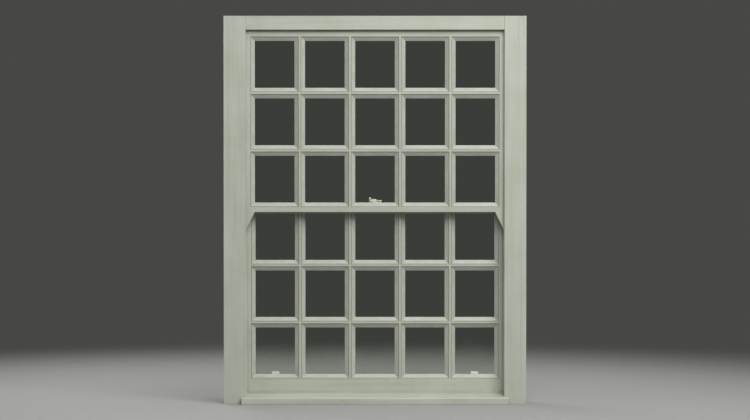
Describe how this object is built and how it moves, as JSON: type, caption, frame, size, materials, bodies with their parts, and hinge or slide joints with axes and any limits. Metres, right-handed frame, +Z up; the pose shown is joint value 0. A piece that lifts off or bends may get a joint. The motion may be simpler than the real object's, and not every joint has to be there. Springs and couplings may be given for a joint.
{
  "type": "sash window",
  "caption": "Vertically sliding box sash window of small panes, with its case, counterweights on cords and pulleys, fastener and hook lifts.",
  "frame": {"origin": "mid width of the sill's underside, in the plane of the outer linings' outer faces, which bear on the wall's check", "axes": "+X to the right seen from outdoors, +Y from outdoors into the room, +Z up"},
  "size_m": [1.378, 0.168, 1.7686],
  "materials": {
    "painted_timber": "satin",
    "case_timber": "matte",
    "clear_glass": "gloss",
    "painted_putty": "satin",
    "weight_iron": "matte",
    "wheel_brass": "satin",
    "pulley_iron": "satin",
    "pin_steel": "satin",
    "cotton_cord": "matte",
    "painted_hardware": "gloss"
  },
  "bodies": {
    "case": {"angle_blocks": "case_timber", "back_lining_left": "case_timber", "back_lining_right": "case_timber", "head": "case_timber", "inner_lining_head": "painted_timber", "inner_lining_left": "painted_timber", "inner_lining_right": "painted_timber", "lower_cord_left": "cotton_cord", "lower_cord_right": "cotton_cord", "outer_lining_head": "painted_timber", "outer_lining_left": "painted_timber", "outer_lining_right": "painted_timber", "parting_bead_head": "painted_timber", "parting_bead_left": "painted_timber", "parting_bead_right": "painted_timber", "parting_slip_left": "case_timber", "parting_slip_right": "case_timber", "pocket_cover_left": "case_timber", "pocket_cover_right": "case_timber", "pulley_cases": "pulley_iron", "pulley_pins": "pin_steel", "pulley_stile_left": "case_timber", "pulley_stile_right": "case_timber", "sill": "painted_timber", "staff_bead_head": "painted_timber", "staff_bead_left": "painted_timber", "staff_bead_right": "painted_timber", "staff_bead_sill": "painted_timber", "upper_cord_left": "cotton_cord", "upper_cord_right": "cotton_cord"},
    "upper_sash": {"fastener_keeper": "painted_hardware", "upper_cross_bars": "painted_timber", "upper_meeting_rail": "painted_timber", "upper_panes": "clear_glass", "upper_putty": "painted_putty", "upper_stile_left": "painted_timber", "upper_stile_right": "painted_timber", "upper_top_rail": "painted_timber", "upper_upright_bars": "painted_timber"},
    "lower_sash": {"fastener_base": "painted_hardware", "fastener_pin": "painted_hardware", "lower_bottom_rail": "painted_timber", "lower_cross_bars": "painted_timber", "lower_meeting_rail": "painted_timber", "lower_panes": "clear_glass", "lower_putty": "painted_putty", "lower_stile_left": "painted_timber", "lower_stile_right": "painted_timber", "lower_upright_bars": "painted_timber", "sash_lifts": "painted_hardware"},
    "fastener_arm": {"fastener_arm": "painted_hardware"},
    "lower_pulley_wheel_left": {"lower_pulley_wheel_left": "wheel_brass"},
    "lower_pulley_wheel_right": {"lower_pulley_wheel_right": "wheel_brass"},
    "lower_weight_left": {"lower_weight_left": "weight_iron"},
    "lower_weight_right": {"lower_weight_right": "weight_iron"},
    "upper_pulley_wheel_left": {"upper_pulley_wheel_left": "wheel_brass"},
    "upper_pulley_wheel_right": {"upper_pulley_wheel_right": "wheel_brass"},
    "upper_weight_left": {"upper_weight_left": "weight_iron"},
    "upper_weight_right": {"upper_weight_right": "weight_iron"}
  },
  "joints": [
    {"name": "lower_sash_slide", "type": "slide", "parent": "case", "child": "lower_sash", "axis": [0, 0, 1], "range_m": [0, 0.75], "deforming": ["lower_cord_left", "lower_cord_right"]},
    {"name": "upper_sash_slide", "type": "slide", "parent": "case", "child": "upper_sash", "axis": [0, 0, -1], "range_m": [0, 0.739], "deforming": ["upper_cord_left", "upper_cord_right"]},
    {"name": "fastener_turn", "type": "hinge", "parent": "lower_sash", "child": "fastener_arm", "pos_m": [0, 0.098, 0.91832], "axis": [0, 0, -1], "range_deg": [0, 80]},
    {"name": "lower_weight_left_slide", "type": "slide", "parent": "case", "child": "lower_weight_left", "axis": [0, 0, -1], "range_m": [0, 0.75]},
    {"name": "lower_pulley_wheel_left_turn", "type": "hinge", "parent": "case", "child": "lower_pulley_wheel_left", "pos_m": [-0.624, 0.099, 1.60662], "axis": [0, -1, 0], "range_deg": [0, 1535.2]},
    {"name": "lower_weight_right_slide", "type": "slide", "parent": "case", "child": "lower_weight_right", "axis": [0, 0, -1], "range_m": [0, 0.75]},
    {"name": "lower_pulley_wheel_right_turn", "type": "hinge", "parent": "case", "child": "lower_pulley_wheel_right", "pos_m": [0.624, 0.099, 1.60662], "axis": [0, 1, 0], "range_deg": [0, 1535.2]},
    {"name": "upper_weight_left_slide", "type": "slide", "parent": "case", "child": "upper_weight_left", "axis": [0, 0, 1], "range_m": [0, 0.739]},
    {"name": "upper_pulley_wheel_left_turn", "type": "hinge", "parent": "case", "child": "upper_pulley_wheel_left", "pos_m": [-0.624, 0.043, 1.60662], "axis": [0, 1, 0], "range_deg": [0, 1512.7]},
    {"name": "upper_weight_right_slide", "type": "slide", "parent": "case", "child": "upper_weight_right", "axis": [0, 0, 1], "range_m": [0, 0.739]},
    {"name": "upper_pulley_wheel_right_turn", "type": "hinge", "parent": "case", "child": "upper_pulley_wheel_right", "pos_m": [0.624, 0.043, 1.60662], "axis": [0, -1, 0], "range_deg": [0, 1512.7]}
  ],
  "couplings": [
    {"joint": "lower_weight_left_slide", "follows": "lower_sash_slide", "ratio": 1},
    {"joint": "lower_pulley_wheel_left_turn", "follows": "lower_sash_slide", "rad_per_m": 35.714},
    {"joint": "lower_weight_right_slide", "follows": "lower_sash_slide", "ratio": 1},
    {"joint": "lower_pulley_wheel_right_turn", "follows": "lower_sash_slide", "rad_per_m": 35.714},
    {"joint": "upper_weight_left_slide", "follows": "upper_sash_slide", "ratio": 1},
    {"joint": "upper_pulley_wheel_left_turn", "follows": "upper_sash_slide", "rad_per_m": 35.714},
    {"joint": "upper_weight_right_slide", "follows": "upper_sash_slide", "ratio": 1},
    {"joint": "upper_pulley_wheel_right_turn", "follows": "upper_sash_slide", "rad_per_m": 35.714}
  ]
}
